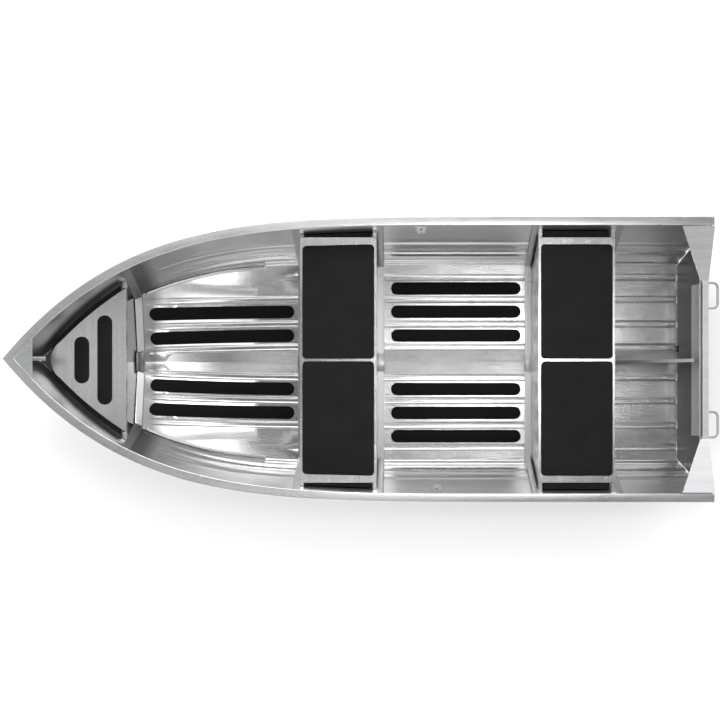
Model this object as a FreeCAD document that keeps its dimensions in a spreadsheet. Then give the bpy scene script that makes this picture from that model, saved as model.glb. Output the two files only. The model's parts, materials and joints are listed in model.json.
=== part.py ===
"""Aluminium V-nosed rowing boat, 3.6 m, as separate sheets, frames, seats, pads and fittings.

Axes: +X to the bow, +Y to port, +Z up. The origin is under the middle of the boat, on the ground.
Stations are measured forward from the top of the transom, in millimetres.
"""
import FreeCAD, Part
import math
import os
import Sketcher

Vector = FreeCAD.Vector

SIZES = {
    # hull form; a size "to_tip" runs aft from the bow's tip
    "hull_length": 3600, "half_beam": 730, "hull_depth": 540, "bow_rise": 130,
    "plan_run": 2950, "plan_power": 5, "side_flare": 196, "chine_to_tip": 120, "chine_run": 1480,
    "chine_power": 2.75, "rise_run": 1310, "chine_end_drop": 130, "rise_power": 2, "keel_power": 4,
    "transom_rake": 9.5, "skin": 2, "fit": 0.3, "chine_cut": 10, "forefoot_gap": 12,
    # pressed strakes of the bottom, placed as shares of the chine's half breadth, and ribs of the sides
    "strake_depth": 10, "strake_width": 38, "strake_slope": 7, "press_fade": 160,
    "strake_to_tip": 600, "outer_strake_to_tip": 1350, "strake_converge": 52,
    "strake_first": 0.1554, "strake_second": 0.3914, "strake_third": 0.6423, "strake_fourth": 0.867,
    "rib_depth": 6, "rib_width": 46, "rib_slope": 12, "rib_to_tip": 640,
    "rib_low": 42, "rib_middle": 158, "rib_high": 274,
    # keel, stem and gunwale
    "keel_width": 40, "keel_drop": 6, "stem_width": 24, "stem_thickness": 4,
    "gunwale_width": 45, "gunwale_outer": 32, "gunwale_inner": 16, "gunwale_wall": 2.5,
    "gunwale_joint": 1700, "breasthook_to_tip": 148, "breasthook_nose_to_tip": 60,
    "breasthook_thickness": 3, "stem_knee_to_tip": 212, "stem_knee_lap": 60,
    "stem_knee_flange": 20, "stem_knee_wall": 3,
    # transom
    "transom_skin": 3, "transom_dip": 85, "dip_shoulder": 322, "motor_board": 40, "board_end": 16,
    "board_height": 300, "cap_width": 33, "cap_side": 20, "cap_wall": 2, "board_ledge": 12,
    "knee_length": 150, "knee_inner": 40, "knee_wall": 3, "knee_edge": 15,
    "brace_flange": 18, "brace_wall": 3, "brace_top": 160, "brace_nose": 12,
    "drain_radius": 12, "drain_offset": 73, "drain_height": 26, "bung_flange": 17, "bung_head": 8.5,
    # frames
    "frame_width": 36, "frame_depth": 18, "frame_wall": 2.5, "frame_foot": 95, "strip_height": 10,
    "bow_frame_to_tip": 600,
    # seats
    "seat_drop": 120, "seat_width": 396, "seat_end_gap": 94, "seat_foot_gap": 44, "seat_wall": 2,
    "front_seat_station": 1726, "aft_seat_station": 490, "seat_pad_edge": 12, "seat_pad_gap": 13,
    "seat_pad_end": 36, "seat_pad_thickness": 6, "seat_pad_corner": 22, "front_pad_slant": 9,
    "bracket_length": 18, "bracket_height": 24,
    "bow_seat_drop": 110, "bow_seat_gap": 4, "bow_seat_corner_gap": 45.8, "bow_seat_nose_to_tip": 236,
    "bow_seat_nose_gap": 51.9, "bow_seat_end_to_tip": 188, "bow_seat_waist_gap": 51.9,
    "bow_seat_flange": 40, "bow_bracket_length": 22, "bow_pad_width": 76, "bow_pad_long_half": 231,
    "bow_pad_short_half": 121, "bow_pad_long_to_tip": 468, "bow_pad_short_to_tip": 349,
    # floor pads, each gap measured from the seat or the bow frame beside it
    "pad_width": 69, "pad_thickness": 5, "mid_pad_aft_gap": 59, "mid_pad_fore_gap": 74,
    "fore_pad_aft_gap": 58, "fore_pad_fore_gap": 32,
    # chine rails, rowlock sockets and lifting handles
    "rail_aft_to_tip": 1264, "rail_gap": 22, "rail_width": 14, "rail_height": 10,
    "rowlock_port_station": 1417, "rowlock_starboard_station": 1496, "rowlock_width": 67,
    "rowlock_reach": 22, "rowlock_nose": 19, "rowlock_height": 30, "rowlock_ring": 14,
    "rowlock_ring_height": 5, "rowlock_bore": 6.75,
    "handle_inset": 73, "handle_span": 132, "handle_reach": 74, "handle_bar": 6.5,
    "handle_bend": 26, "handle_drop": 125,
}

doc = FreeCAD.newDocument("RowingBoat")
sheet = doc.addObject("Spreadsheet::Sheet", "Sizes")
for row, (alias, value) in enumerate(SIZES.items(), start=1):
    sheet.set(f"A{row}", alias)
    sheet.set(f"B{row}", str(value))
    sheet.setAlias(f"B{row}", alias)
doc.recompute()


def size(alias):
    """A driving dimension, read back from the spreadsheet."""
    return float(sheet.get(alias))


def worked(text):
    """Value of an expression on the spreadsheet's sizes."""
    return float(sheet.evalExpression(text))


L = size("hull_length")
SKIN, FIT = size("skin"), size("fit")
LEAN = math.radians(size("transom_rake"))
OVERHANG = ((size("handle_reach") - size("handle_bar")) * math.cos(LEAN) + size("handle_bar")
            - size("handle_drop") * math.tan(LEAN))
MIDDLE = (L - OVERHANG) / 2
# the same place as an expression, for the objects that the spreadsheet drives
MIDDLE_TEXT = ("(Sizes.hull_length - (Sizes.handle_reach - Sizes.handle_bar) * cos(Sizes.transom_rake)"
               " - Sizes.handle_bar + Sizes.handle_drop * tan(Sizes.transom_rake)) / 2")
FLOOR_TEXT = "(Sizes.strake_depth + Sizes.skin + Sizes.fit)"
SEAT_TEXT = "(Sizes.hull_depth - Sizes.seat_drop)"
CHINE_TEXT = "(Sizes.half_beam - Sizes.side_flare)"
DIP_HALF_TEXT = "(Sizes.half_beam - Sizes.dip_shoulder)"
SEAT_HALF_TEXT = "(Sizes.half_beam - Sizes.seat_end_gap)"
SEAT_FOOT_TEXT = f"({CHINE_TEXT} - Sizes.seat_foot_gap)"
BOW_SEAT_TEXT = "(Sizes.hull_depth - Sizes.bow_seat_drop)"
CHINE_END = L - size("chine_to_tip")
CHINE_START = CHINE_END - size("chine_run")
RISE_START = CHINE_END - size("rise_run")
STRAKE_END = L - size("strake_to_tip")
OUTER_STRAKE_END = L - size("outer_strake_to_tip")
RIB_END = L - size("rib_to_tip")
BOW_FRAME = L - size("bow_frame_to_tip")
BOW_FRAME_AFT = BOW_FRAME - size("frame_width") / 2
BOW_FRAME_FORE = BOW_FRAME + size("frame_width") / 2
# stations at which the long pieces' sections are worked out
HULL_SECTIONS, FORE_SECTIONS, SHORT_SECTIONS = 18, 10, 4


# ---------------------------------------------------------------- hull lines

def beyond(station, start, end):
    """How far a station lies from start to end, 0 before the start."""
    return max(0.0, (station - start) / (end - start))


def half_breadth(station):
    """Outer edge of the gunwale."""
    return size("half_beam") * (1 - beyond(station, L - size("plan_run"), L) ** size("plan_power"))


def inboard(station, distance):
    """A line that runs at a distance inside the gunwale's outer edge."""
    slope = (half_breadth(station + 1) - half_breadth(station - 1)) / 2
    return half_breadth(station) - distance * math.hypot(1, slope)


def sheer(station):
    """Top of the gunwale."""
    return size("hull_depth") + size("bow_rise") * beyond(station, L - size("plan_run"), L) ** 2


def along_chine(station):
    return beyond(station, CHINE_START, CHINE_END)


def chine_breadth(station):
    return worked(CHINE_TEXT) * (1 - along_chine(station) ** size("chine_power"))


def risen(station, power):
    """Height above the ground of a line that is level aft and climbs to the chine's forward end."""
    share = beyond(station, RISE_START, CHINE_END)
    climb = size("hull_depth") - size("strake_depth") - size("chine_end_drop")
    return size("strake_depth") + climb * share ** power


def chine_height(station):
    return risen(station, size("rise_power"))


def keel_height(station):
    return risen(station, size("keel_power"))


def fade(station, end):
    """Share of a pressing's full depth: 1 aft, falling smoothly to 0 at its forward end."""
    share = min(1.0, max(0.0, (end - station) / size("press_fade")))
    return share * share * (3 - 2 * share)


def keel_drop(station):
    """How far the centre seam is folded below the flat of the bottom."""
    return size("keel_drop") * fade(station, STRAKE_END)


def side_top(station):
    """Top edge of the side sheet, inside the gunwale's outer leg."""
    lap = size("gunwale_wall") + FIT
    return inboard(station, lap), sheer(station) - lap - SKIN / 2


def side_line(station):
    """Foot of the side sheet's outer face, and the unit vectors up the sheet and inboard."""
    foot = (chine_breadth(station), chine_height(station))
    top = side_top(station)
    length = math.hypot(top[0] - foot[0], top[1] - foot[1])
    up = ((top[0] - foot[0]) / length, (top[1] - foot[1]) / length)
    return foot, up, (-up[1], up[0]), length


def bottom_line(station, offset):
    """Height of the bottom's outer face at a distance from the centre line."""
    keel, chine = keel_height(station), chine_height(station)
    return keel + (chine - keel) * offset / max(chine_breadth(station), 1)


def side_inner(station, height, clear):
    """Breadth of the side sheet's inner face at a height, less a clearance square to the sheet."""
    foot, up, _, _ = side_line(station)
    return foot[0] + (height - foot[1]) * up[0] / up[1] - (SKIN + clear) / up[1]


def stem_height(station):
    """Where the two side sheets meet on the centre line, forward of the chine's end."""
    foot, up, _, _ = side_line(station)
    return foot[1] - foot[0] * up[1] / up[0]


# ------------------------------------------------------------ shapes on lines

def spread(start, end, count):
    return [start + (end - start) * step / (count - 1) for step in range(count)]


def solid_through(rings, spacing):
    """Solid whose corners run along smooth rails from ring to ring, each ring a closed list of points."""
    rails = []
    for points in zip(*rings):
        curve = Part.BSplineCurve()
        curve.interpolate(Points=list(points), Parameters=spacing)
        rails.append(curve.toShape())
    faces = [Part.makeRuledSurface(a, b) for a, b in zip(rails, rails[1:] + rails[:1])]
    faces += [Part.Face(Part.makePolygon(ring + ring[:1])) for ring in (rings[0], rings[-1])]
    shell = Part.Shell(faces)
    shell.sewShape()
    solid = Part.Solid(shell)
    if solid.Volume < 0:
        solid.reverse()
    return solid


def rail_solid(stations, section):
    """Solid through section(station), a ring of (y, z) at each station."""
    rings = [[Vector(s - MIDDLE, y, z) for y, z in section(s)] for s in stations]
    return solid_through(rings, [s / L for s in stations])


def joined(shapes):
    whole = shapes[0].fuse(shapes[1:]) if len(shapes) > 1 else shapes[0]
    return whole.removeSplitter()


def port_side():
    """Everything to port of the centre line, with half of a fit's gap on it."""
    return Part.makeBox(2 * L, L, 2 * L, Vector(-L, FIT / 2, -L))


def ahead_of_transom(clear):
    """Everything forward of the transom's outer face, less a clearance."""
    box = Part.makeBox(2 * L, 4 * L, 4 * L, Vector(0, -2 * L, -2 * L))
    box.rotate(Vector(0, 0, 0), Vector(0, 1, 0), -size("transom_rake"))
    box.translate(Vector(clear - MIDDLE, 0, size("hull_depth")))
    return box


def aft_station():
    """A station aft of the whole transom, where the hull's sheets start before they are trimmed."""
    return -size("cap_width")


def starboard(shape):
    return shape.mirror(Vector(0, 0, 0), Vector(0, 1, 0))


def trapezoid(centre, width, slope, depth):
    """Corners of one pressed groove: place along the sheet and depth below its face."""
    low, high = centre - width / 2, centre + width / 2
    return [(low, 0), (low + slope, depth), (high - slope, depth), (high, 0)]


# --------------------------------------------------------------- hull sheets

STRAKES = ("strake_first", "strake_second", "strake_third", "strake_fourth")


def strake_place(alias, station):
    return size(alias) * worked(CHINE_TEXT) - size("strake_converge") * along_chine(station) ** 2


def bottom_section(strakes, end):
    """Ring of the port bottom sheet with pressed strakes; the last of them fades out at end."""
    def section(station):
        outer = [(FIT / 2, -keel_drop(station))]
        for alias in strakes:
            last = alias == strakes[-1]
            depth = size("strake_depth") * fade(station, end if last else STRAKE_END)
            outer += [(y, -dip) for y, dip in
                      trapezoid(strake_place(alias, station), size("strake_width"),
                                size("strake_slope"), depth)]
        outer.append((chine_breadth(station) - SKIN - FIT, 0))
        slope = (chine_height(station) - keel_height(station)) / max(chine_breadth(station), 1)
        lift = SKIN * math.hypot(1, slope)
        low = [(y, bottom_line(station, y) + dip) for y, dip in outer]
        return low + [(y, z + lift) for y, z in reversed(low)]
    return section


def bottom_half():
    """Port half of the bottom: all strakes aft, three of them further forward, none at the bow."""
    outer_end, end = OUTER_STRAKE_END, STRAKE_END
    tip = CHINE_END - size("chine_cut")
    aft = rail_solid(spread(aft_station(), outer_end, HULL_SECTIONS), bottom_section(STRAKES, outer_end))
    fore = rail_solid(spread(outer_end, end, FORE_SECTIONS), bottom_section(STRAKES[:3], end))
    bow = rail_solid(spread(end, tip, FORE_SECTIONS), bottom_section((), end))
    return joined([aft, fore, bow]).common(ahead_of_transom(0))


def side_section(ribs):
    """Ring of the port side sheet, from the chine to inside the gunwale."""
    def section(station):
        foot, up, inward, length = side_line(station)
        outer = [(0, 0)]
        squeeze = length / side_line(0)[3]
        for alias in ribs:
            outer += trapezoid(size(alias) * squeeze, size("rib_width") * squeeze,
                               size("rib_slope") * squeeze, size("rib_depth") * fade(station, RIB_END))
        outer.append((length, 0))
        ring = [(foot[0] + up[0] * a - inward[0] * b, foot[1] + up[1] * a - inward[1] * b)
                for a, b in outer]
        return ring + [(y + inward[0] * SKIN, z + inward[1] * SKIN) for y, z in reversed(ring)]
    return section


def side_panel():
    """Port side sheet, ribbed as far as the bow frame and plain from there to the stem."""
    ribs = ("rib_low", "rib_middle", "rib_high")
    aft = rail_solid(spread(aft_station(), RIB_END, HULL_SECTIONS), side_section(ribs))
    bow = rail_solid(spread(RIB_END, L, FORE_SECTIONS), side_section(()))
    return joined([aft, bow]).common(ahead_of_transom(0)).common(port_side())


def gunwale(start, end):
    """Length of folded channel over the side's edge: a flat top, a deep outer and a short inner leg."""
    wall, width = size("gunwale_wall"), size("gunwale_width")

    def section(station):
        top, outer, inner = sheer(station), size("gunwale_outer"), size("gunwale_inner")
        ring = [(0, -outer), (0, 0), (width, 0), (width, -inner), (width - wall, -inner),
                (width - wall, -wall), (wall, -wall), (wall, -outer)]
        return [(inboard(station, d), top + z) for d, z in ring]
    whole = rail_solid(spread(start, end, HULL_SECTIONS), section)
    return whole.common(ahead_of_transom(0)).common(port_side())


def strip_along(profile, width, thickness):
    """Flat bar laid outside a profile of (station, height) points, a fit's gap away from it."""
    rings = []
    for before, here, after in zip(profile[:1] + profile, profile, profile[1:] + profile[-1:]):
        run, rise = after[0] - before[0], after[1] - before[1]
        out = (rise / math.hypot(run, rise), -run / math.hypot(run, rise))
        rings.append([Vector(here[0] + out[0] * depth - MIDDLE, side * width / 2, here[1] + out[1] * depth)
                      for side, depth in ((-1, FIT), (1, FIT), (1, FIT + thickness), (-1, FIT + thickness))])
    return solid_through(rings, [point[0] / L for point in profile])


def keel_strip():
    """Flat bar under the centre seam, from the transom's foot to the forefoot."""
    stations = spread(aft_station(), CHINE_END - 1.5 * size("chine_cut"), 2 * HULL_SECTIONS)
    profile = [(s, keel_height(s) - keel_drop(s)) for s in stations]
    thickness = size("strake_depth") - size("keel_drop") - FIT
    return strip_along(profile, size("keel_width"), thickness).common(ahead_of_transom(0))


def stem_strip():
    """Flat bar over the seam of the two sides, from the forefoot to under the gunwales."""
    stations = spread(CHINE_END + size("forefoot_gap"), L - size("stem_width"), FORE_SECTIONS)
    profile = [(s, stem_height(s)) for s in stations]
    return strip_along(profile, size("stem_width"), size("stem_thickness"))


def chine_rail():
    """Small flat-topped rail in the chine's inner corner, between the bow frame and the front seat."""
    def section(station):
        slope = (chine_height(station) - keel_height(station)) / chine_breadth(station)
        lift = SKIN * math.hypot(1, slope) + FIT
        root = chine_breadth(station) - 2 * SKIN - FIT
        ring = []
        for along, up in ((0, 0), (-size("rail_width"), 0), (-size("rail_width"), 1), (0, 1)):
            y = root + along
            ring.append((y, bottom_line(station, y) + lift + up * size("rail_height")))
        return ring
    return rail_solid(spread(L - size("rail_aft_to_tip"), BOW_FRAME_AFT - size("rail_gap"), FORE_SECTIONS),
                      section)


# --------------------------------------------------------------------- frames

def frame_station(name):
    """Centre of each frame: hard against the seat that it carries."""
    half = size("frame_width") / 2 + FIT
    front, aft, width = size("front_seat_station"), size("aft_seat_station"), size("seat_width")
    return {"front_seat_forward": front + width + half, "front_seat_aft": front - half,
            "aft_seat_forward": aft + width + half, "aft_seat_aft": aft - half,
            "bow": BOW_FRAME}[name]


def frame_band(inner, foot, station):
    """Ring of (y, z) up the hull's inner face: from the floor, round the chine, to the gunwale."""
    slope = (chine_height(station) - keel_height(station)) / chine_breadth(station)
    lift = (SKIN + inner) * math.hypot(1, slope)
    top = sheer(station) - size("gunwale_inner") - 2 * FIT
    line, up, inward, _ = side_line(station)
    root = (line[0] + inward[0] * (SKIN + inner), line[1] + inward[1] * (SKIN + inner))
    high = root[0] + (top - root[1]) * up[0] / up[1]
    # the corner where the raised floor line meets the raised side line
    level = bottom_line(station, 0) + lift
    lean = up[0] / up[1]
    corner = (level + slope * root[0] - root[1]) / (1 - slope * lean)
    return [(foot, bottom_line(station, foot) + lift), (root[0] + corner * lean, root[1] + corner),
            (high, top)]


def side_frame(name, foot_of):
    """Pressed channel, open to the hull, that runs from the floor up the side to the gunwale."""
    centre, half = frame_station(name), size("frame_width") / 2
    depth, wall = size("frame_depth"), size("frame_wall")

    def ring(low, high):
        return lambda s: frame_band(low, foot_of(s), s) + frame_band(high, foot_of(s), s)[::-1]
    whole = rail_solid(spread(centre - half, centre + half, SHORT_SECTIONS), ring(FIT, depth))
    inside = spread(centre - half + wall, centre + half - wall, SHORT_SECTIONS)
    hollow = rail_solid(inside, ring(FIT - SKIN / 2, depth - wall))
    return whole.cut(hollow)


def knee_foot(station):
    """Where the side frames end on the floor."""
    return chine_breadth(station) - size("frame_foot")


def bow_foot(_):
    """Where the two halves of the bow frame meet."""
    return FIT / 2


# -------------------------------------------------- objects set by hull lines

def feature(label, shape, placement=FreeCAD.Placement()):
    """A sub-part whose shape follows the hull lines."""
    item = doc.addObject("Part::Feature", label)
    item.Label = label
    item.Shape = shape
    item.Placement = placement


def pair(name, shape):
    feature(f"{name}_port", shape)
    feature(f"{name}_starboard", starboard(shape))


# ---------------------------------------------------------- sketched sub-parts

def body_named(label, placement=None):
    body = doc.addObject("PartDesign::Body", label)
    body.Label = label
    if placement:
        body.setExpression("Placement", placement)
    return body


def plane_sketch(body, name, role):
    sketch = body.newObject("Sketcher::SketchObject", name)
    plane = [item for item in body.Origin.OriginFeatures if item.Role == role][0]
    sketch.AttachmentSupport = [(plane, "")]
    sketch.MapMode = "FlatFace"
    return sketch


def tie(sketch, kind, curve, point, text):
    """Holds one point of a curve at a distance from the origin that an expression gives."""
    value = float(sketch.evalExpression(text))
    index = sketch.addConstraint(Sketcher.Constraint(kind, -1, 1, curve, point, value))
    sketch.setExpression(f"Constraints[{index}]", text)


def outline(sketch, corners):
    """Closed outline of straight edges through corners, each an (x, y) pair of expressions."""
    places = [Vector(float(sketch.evalExpression(x)), float(sketch.evalExpression(y)), 0)
              for x, y in corners]
    first = sketch.GeometryCount
    for start, end in zip(places, places[1:] + places[:1]):
        sketch.addGeometry(Part.LineSegment(start, end))
    for number, (x, y) in enumerate(corners):
        after = first + (number + 1) % len(corners)
        sketch.addConstraint(Sketcher.Constraint("Coincident", first + number, 2, after, 1))
        tie(sketch, "DistanceX", first + number, 1, x)
        tie(sketch, "DistanceY", first + number, 1, y)


def slot(sketch, half_length, half_width, offset="0"):
    """Outline with full-round ends, long in the sketch's X, centred at an offset along its Y."""
    a, r, b = (float(sketch.evalExpression(text)) for text in (half_length, half_width, offset))
    first = sketch.GeometryCount
    for sign in (1, -1):
        start, end = Vector(-sign * (a - r), b + sign * r, 0), Vector(sign * (a - r), b + sign * r, 0)
        turn = -sign * math.pi / 2
        circle = Part.Circle(Vector(sign * (a - r), b, 0), Vector(0, 0, 1), r)
        sketch.addGeometry(Part.LineSegment(start, end))
        sketch.addGeometry(Part.ArcOfCircle(circle, turn, turn + math.pi))
    line, arc, back, other = range(first, first + 4)
    sketch.addConstraint([
        Sketcher.Constraint("Tangent", line, 2, arc, 2), Sketcher.Constraint("Tangent", arc, 1, back, 1),
        Sketcher.Constraint("Tangent", back, 2, other, 2), Sketcher.Constraint("Tangent", other, 1, line, 1),
        Sketcher.Constraint("Horizontal", line)])
    index = sketch.addConstraint(Sketcher.Constraint("Radius", arc, r))
    sketch.setExpression(f"Constraints[{index}]", half_width)
    for curve, sign in ((arc, ""), (other, "-")):
        tie(sketch, "DistanceX", curve, 3, f"{sign}({half_length} - {half_width})")
    tie(sketch, "DistanceY", arc, 3, offset)


def bound_circle(sketch, radius, x, y):
    """Circle whose radius and centre follow expressions."""
    value = float(sketch.evalExpression(radius))
    middle = Vector(float(sketch.evalExpression(x)), float(sketch.evalExpression(y)), 0)
    sketch.addGeometry(Part.Circle(middle, Vector(0, 0, 1), value))
    index = sketch.addConstraint(Sketcher.Constraint("Radius", 0, value))
    sketch.setExpression(f"Constraints[{index}]", radius)
    tie(sketch, "DistanceX", 0, 3, x)
    tie(sketch, "DistanceY", 0, 3, y)


def pad(body, sketch, length, both_ways=False, reverse=False):
    feature_pad = body.newObject("PartDesign::Pad", sketch.Name + "_pad")
    feature_pad.Profile = sketch
    feature_pad.setExpression("Length", length)
    feature_pad.Midplane = both_ways
    feature_pad.Reversed = reverse
    return feature_pad


def pocket(body, sketch, length, both_ways=False, reverse=False):
    cut = body.newObject("PartDesign::Pocket", sketch.Name + "_pocket")
    cut.Profile = sketch
    cut.setExpression("Length", length)
    cut.Midplane = both_ways
    cut.Reversed = reverse
    return cut


def upright_edges(shape):
    """Names of the straight edges that stand along Z."""
    return [f"Edge{number}" for number, edge in enumerate(shape.Edges, start=1)
            if edge.Curve.TypeId == "Part::GeomLine" and abs(edge.tangentAt(edge.FirstParameter).z) > 0.99]


def place(x="0", y="0", z="0"):
    """Placement expression: x is a station, y and z are from the boat's origin."""
    return f"placement(vector({x} - {MIDDLE_TEXT}; {y}; {z}); rotation(vector(0; 0; 1); 0))"


def on_transom(y="0"):
    """Placement at the top of the transom's outer face, leaning with it; local +X points forward."""
    turn = "rotation(vector(0; 1; 0); -Sizes.transom_rake)"
    return f"placement(vector(-{MIDDLE_TEXT}; {y}; Sizes.hull_depth); {turn})"


# length along the leaning transom from the gunwale's top down to the bottom sheet
TRANSOM_FALL = f"((Sizes.hull_depth - {FLOOR_TEXT}) / cos(Sizes.transom_rake))"
DIP = "(Sizes.transom_dip / cos(Sizes.transom_rake))"
# from the end of the transom's dip out to the gunwale's inner edge
KNEE_RUN = "(Sizes.dip_shoulder - Sizes.gunwale_width)"


def transom_panel():
    """Folded-edge sheet with a dip between the corner knees and a drain hole at its foot."""
    body = body_named("transom_panel", on_transom())
    face = plane_sketch(body, "transom_face", "YZ_Plane")
    lean = "(Sizes.side_flare / Sizes.hull_depth)"
    foot = f"({CHINE_TEXT} - 2 * Sizes.skin - 2 * Sizes.fit)"
    under = "(Sizes.gunwale_outer + Sizes.fit)"
    top = f"({foot} + {lean} * (Sizes.hull_depth - {under} - {FLOOR_TEXT}) - Sizes.gunwale_wall * 2)"
    shoulder = f"-{under}"
    slope_end = f"{DIP_HALF_TEXT} + {KNEE_RUN} * (1 - {under} / Sizes.transom_dip)"
    outline(face, [(f"-{foot}", f"-{TRANSOM_FALL}"), (foot, f"-{TRANSOM_FALL}"), (top, shoulder),
                   (slope_end, shoulder), (DIP_HALF_TEXT, f"-{DIP}"),
                   (f"-{DIP_HALF_TEXT}", f"-{DIP}"), (f"-({slope_end})", shoulder),
                   (f"-{top}", shoulder)])
    pad(body, face, "Sizes.transom_skin")
    doc.recompute()
    hole = plane_sketch(body, "drain_hole", "YZ_Plane")
    bound_circle(hole, "Sizes.drain_radius", "-Sizes.drain_offset",
                 f"-{TRANSOM_FALL} + Sizes.drain_height")
    pocket(body, hole, "Sizes.transom_skin * 3", both_ways=True)


def motor_board():
    """Plain board against the transom's inner face, where an outboard motor is clamped."""
    box = doc.addObject("Part::Box", "motor_board")
    box.Label = "motor_board"
    half = f"({DIP_HALF_TEXT} - Sizes.board_end)"
    box.setExpression("Length", "Sizes.motor_board")
    box.setExpression("Width", f"2 * {half}")
    box.setExpression("Height", "Sizes.board_height")
    low = f"-{DIP} - Sizes.board_ledge - Sizes.board_height"
    corner = f"vector(Sizes.transom_skin + Sizes.fit; -{half}; {low})"
    box.setExpression("Placement", f"{on_transom()} * placement({corner}; rotation(vector(0; 0; 1); 0))")


def transom_cap():
    """Channel folded over the top edges of the transom sheet and the motor board."""
    body = body_named("transom_cap", on_transom())
    profile = plane_sketch(body, "cap_profile", "XZ_Plane")
    aft, fore = "(-Sizes.cap_wall - Sizes.fit)", "(Sizes.cap_width - Sizes.cap_wall)"
    top = f"(-{DIP} + Sizes.cap_wall + Sizes.fit)"
    outline(profile, [(aft, f"{top} - Sizes.cap_side"), (aft, top), (fore, top),
                      (fore, f"{top} - Sizes.cap_wall"), ("-Sizes.fit", f"{top} - Sizes.cap_wall"),
                      ("-Sizes.fit", f"{top} - Sizes.cap_side")])
    pad(body, profile, f"2 * {DIP_HALF_TEXT}", both_ways=True)


def drain_bung():
    """Round plug with a flange, pushed into the drain hole from inside."""
    stem = doc.addObject("Part::Cylinder", "bung_stem")
    stem.setExpression("Radius", "Sizes.drain_radius - Sizes.fit")
    stem.setExpression("Height", "Sizes.transom_skin + Sizes.bung_head + Sizes.fit")
    head = doc.addObject("Part::Cylinder", "bung_head")
    head.setExpression("Radius", "Sizes.bung_flange")
    head.setExpression("Height", "Sizes.bung_head")
    turn = "rotation(vector(0; 1; 0); 90)"
    low = f"-{TRANSOM_FALL} + Sizes.drain_height"
    for item, along in ((stem, "0"), (head, "Sizes.transom_skin + Sizes.fit")):
        local = f"placement(vector({along}; -Sizes.drain_offset; {low}); {turn})"
        item.setExpression("Placement", f"{on_transom()} * {local}")
    plug = doc.addObject("Part::Fuse", "drain_bung")
    plug.Label = "drain_bung"
    plug.Base, plug.Tool = stem, head


def transom_brace():
    """Flanged gusset on the centre line, from the transom board down to the aft seat's foot."""
    body = body_named("transom_brace", place())
    web = plane_sketch(body, "brace_web", "XZ_Plane")
    foot = f"({FLOOR_TEXT} + Sizes.fit)"
    fall = "(Sizes.hull_depth - Sizes.brace_top)"
    back = "(Sizes.transom_skin + Sizes.motor_board + 3 * Sizes.fit) / cos(Sizes.transom_rake)"
    high_x = f"(Sizes.brace_top * tan(Sizes.transom_rake) + {back})"
    low_x = f"((Sizes.hull_depth - {foot}) * tan(Sizes.transom_rake) + {back})"
    end = "(Sizes.aft_seat_station - Sizes.frame_width - 3 * Sizes.fit)"
    nose = f"({foot} + Sizes.brace_nose)"
    outline(web, [(low_x, foot), (end, foot), (end, nose), (high_x, fall)])
    pad(body, web, "Sizes.brace_wall", both_ways=True)
    doc.recompute()
    top = plane_sketch(body, "brace_top", "XZ_Plane")
    outline(top, [(end, nose), (high_x, fall), (high_x, f"{fall} - Sizes.brace_wall"),
                  (end, f"{nose} - Sizes.brace_wall")])
    pad(body, top, "Sizes.brace_flange", both_ways=True)


def corner_knee(side, sign):
    """Plate that falls from the gunwale's corner to the dip in the transom, with a turned-down edge."""
    def across(text):
        return f"{sign}({text})"
    body = body_named(f"corner_knee_{side}")
    rise = "(Sizes.transom_dip + Sizes.gunwale_wall)"
    angle = f"{sign}atan({rise} / {KNEE_RUN})"
    low = "(Sizes.hull_depth - Sizes.transom_dip + Sizes.cap_wall + 4 * Sizes.fit)"
    body.setExpression("Placement", f"placement(vector(Sizes.transom_dip * tan(Sizes.transom_rake) - "
                       f"{MIDDLE_TEXT}; {across(DIP_HALF_TEXT + ' + 3 * Sizes.fit')}; {low}); "
                       f"rotation(vector(1; 0; 0); {angle}))")
    long = f"(sqrt({rise} * {rise} + {KNEE_RUN} * {KNEE_RUN}) - 2 * Sizes.gunwale_wall)"
    drift = "Sizes.transom_dip * tan(Sizes.transom_rake)"
    plate = plane_sketch(body, f"knee_plate_{side}", "XY_Plane")
    aft = "-Sizes.cap_wall"
    outline(plate, [(aft, "0"), ("Sizes.knee_inner", "0"), ("Sizes.knee_length", across(long)),
                    (f"{aft} - {drift}", across(long))])
    pad(body, plate, "Sizes.knee_wall")
    doc.recompute()
    edge = plane_sketch(body, f"knee_edge_{side}", "XY_Plane")
    outline(edge, [("Sizes.knee_inner - Sizes.knee_wall", "0"), ("Sizes.knee_inner", "0"),
                   ("Sizes.knee_length", across(long)),
                   ("Sizes.knee_length - Sizes.knee_wall * 1.4", across(long))])
    pad(body, edge, "Sizes.knee_edge", reverse=True)


def floor_frame(name):
    """Low channel across the floor between the feet of two side frames."""
    centre = frame_station(name)
    half = f"({CHINE_TEXT} - Sizes.frame_foot - 3 * Sizes.fit)"
    climb = chine_height(centre + size("frame_width") / 2) - size("strake_depth")
    body = body_named(f"floor_frame_{name}", place(x=f"{centre}", z=f"({FLOOR_TEXT} + Sizes.fit + {climb})"))
    profile = plane_sketch(body, f"{name}_profile", "XZ_Plane")
    wide, wall, top = "Sizes.frame_width / 2", "Sizes.frame_wall", "Sizes.strip_height"
    outline(profile, [(f"-{wide}", "0"), (f"-{wide}", top), (wide, top), (wide, "0"),
                      (f"{wide} - {wall}", "0"), (f"{wide} - {wall}", f"{top} - {wall}"),
                      (f"-{wide} + {wall}", f"{top} - {wall}"), (f"-{wide} + {wall}", "0")])
    pad(body, profile, f"2 * {half}", both_ways=True)


# ----------------------------------------------------------------------- seats

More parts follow.
